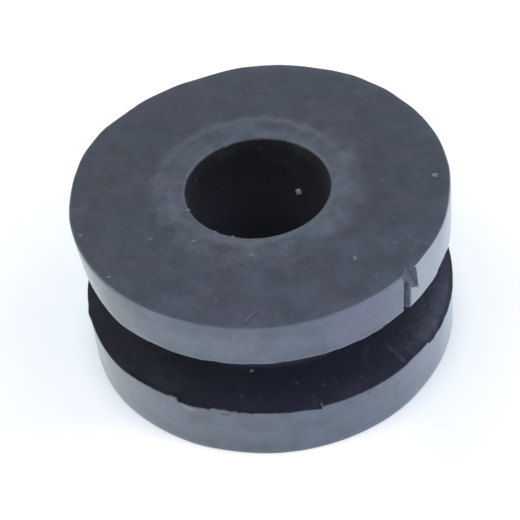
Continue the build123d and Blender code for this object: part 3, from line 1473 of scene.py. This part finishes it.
@dataclass(frozen=True)
class Studio:
    """A white floor and backdrop under soft light, cooler on the right than on the left.

    The floor glows a little, and the rest of its brightness falls off in the shade. It glows less blue at the
    right, and fully just in front of the bushing, where no shade is seen. Reflections show a floor with less
    shade, which is dimmer at the left.
    """

    floor_half: float = 1500.0
    floor_matt: Colour = (0.84, 0.88, 0.92)
    floor_shade: Colour = (0.68, 0.51, 0.34)
    floor_glow: Colour = (0.50, 0.62, 0.76)
    right_glow: Colour = (0.60, 0.68, 0.73)
    right_side: Band = (8.0, 20.0)
    front_depth: Band = (-6.0, -13.0)
    front_side: Band = (9.0, 0.0)
    mirrored_shade: Colour = (0.28, 0.20, 0.12)
    mirrored_glow: Colour = (0.62, 0.76, 0.90)
    mirrored_left: Colour = (0.53, 0.64, 0.69)
    left_side: Band = (-6.0, -9.0)
    left_depth: Band = (-7.0, -3.0)
    covered: Band = (8.0, 12.0)
    left_horizon: Colour = (0.92, 1.0, 1.0)
    right_horizon: Colour = (0.88, 0.93, 1.14)
    zenith: Colour = (0.27, 0.30, 0.39)
    lamps: tuple[Lamp, ...] = (
        Lamp("right_lamp", (0.44, -0.06, 0.24), 0.9, 2.1, (0.84, 0.91, 1.0)),
        Lamp("left_lamp", (-0.44, -0.02, 0.24), 0.9, 1.7, (0.94, 1.0, 0.97)),
    )

    def build(self) -> None:
        """Adds the floor, the world and the lamps."""
        plate = bmesh.new()
        bmesh.ops.create_grid(plate, x_segments=1, y_segments=1, size=self.floor_half * MM)
        floor = new_piece("floor", plate, self.floor_material())
        self.light_world()
        for lamp in self.lamps:
            lamp.hang()

    def floor_material(self) -> bpy.types.Material:
        """A floor that looks white to the camera and in reflections but keeps a cool shadow.

        Under the bushing it is only matt, so that no light comes up through the bore.

        Returns:
            The finished material.
        """
        sheet = NodeSheet("white_floor")
        rays = sheet.add("ShaderNodeLightPath").outputs
        mirrored = sheet.maths("MAXIMUM", rays["Is Glossy Ray"], rays["Is Transmission Ray"])
        seen = sheet.maths("MAXIMUM", rays["Is Camera Ray"], mirrored)
        place = sheet.place()
        side, back, _ = sheet.parts(place)
        away = sheet.fade(sheet.vector("LENGTH", place, ORIGIN), *self.covered)

        in_front = sheet.product(sheet.fade(back, *self.front_depth), sheet.fade(side, *self.front_side))
        at_left = sheet.product(sheet.fade(side, *self.left_side), sheet.fade(back, *self.left_depth))
        direct = sheet.blend(sheet.fade(side, *self.right_side), self.floor_glow, self.right_glow)
        direct = sheet.blend(in_front, direct, WHITE)
        reflected = sheet.blend(at_left, self.mirrored_glow, self.mirrored_left)
        glow = sheet.blend(mirrored, direct, reflected)
        shade = sheet.blend(mirrored, self.floor_shade, self.mirrored_shade)

        glowing = sheet.add("ShaderNodeEmission", {"Color": glow, "Strength": 1.0})
        shaded = sheet.add("ShaderNodeBsdfDiffuse", {"Color": shade})
        white = sheet.add("ShaderNodeAddShader", {0: shaded.outputs[0], 1: glowing.outputs[0]})
        matt = sheet.add("ShaderNodeBsdfDiffuse", {"Color": (*self.floor_matt, 1.0)})
        return sheet.finish(sheet.mix(sheet.product(seen, away), matt, white))

    def light_world(self) -> None:
        """Lights the room from a bright horizon to a dimmer zenith, and shows it white to the camera."""
        sheet = NodeSheet("studio_world", is_world=True)
        side, _, height = sheet.parts(sheet.add("ShaderNodeTexCoord").outputs["Generated"])
        horizon = sheet.blend(sheet.fade(side, -1.0, 1.0), self.left_horizon, self.right_horizon)
        colour = sheet.blend(sheet.total(height, 0.0, clamp=True), horizon, self.zenith)
        light = sheet.add("ShaderNodeBackground", {"Color": colour})
        seen = sheet.add("ShaderNodeBackground", {"Color": (*WHITE, 1.0)})
        is_camera = sheet.add("ShaderNodeLightPath").outputs["Is Camera Ray"]
        bpy.context.scene.world = sheet.finish(sheet.mix(is_camera, light, seen))


# ---------------------------------------------------------------- putting it together


def ground_of(piece: bpy.types.Object) -> BVHTree:
    """A finished piece's surface as a tree for casting rays, in millimetres."""
    shape = bmesh.new()
    shape.from_mesh(piece.data)
    bmesh.ops.scale(shape, vec=Vector((1.0, 1.0, 1.0)) / MM, verts=shape.verts)
    tree = BVHTree.FromBMesh(shape)
    shape.free()
    return tree


def settle(piece: bpy.types.Object) -> None:
    """Makes a piece move with the bushing and reports it."""
    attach(piece, BODY)
    log.info("%s: %d faces", piece.name, len(piece.data.polygons))


def main() -> None:
    """Builds the bushing and its studio, and reports each piece."""
    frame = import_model()
    low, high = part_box(NODE)
    mounts = {mount["name"]: mount for mount in frame["record"]["mounts"]}
    section = Section(
        rim_radius=(high.x - low.x) / 2.0 / MM,
        upper_face=mounts["upper_face"]["pos_m"][2] / MM,
        bore_radius=mounts["bore"]["dims"]["r_mm"],
    )
    skin = BushingSkin(section, Wear(section)).build()
    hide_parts(NODE)
    settle(skin)
    ground = ground_of(skin)
    for dirt in (PALE_DUST, GREY_DUST, BORE_GRIT, LINT):
        settle(dirt.build(ground, section))
    Studio().build()
    Camera().place()
    bpy.context.scene.view_settings.view_transform = "Standard"


if __name__ == "__main__":
    logging.basicConfig(level=logging.INFO, format="%(name)s: %(message)s")
    main()
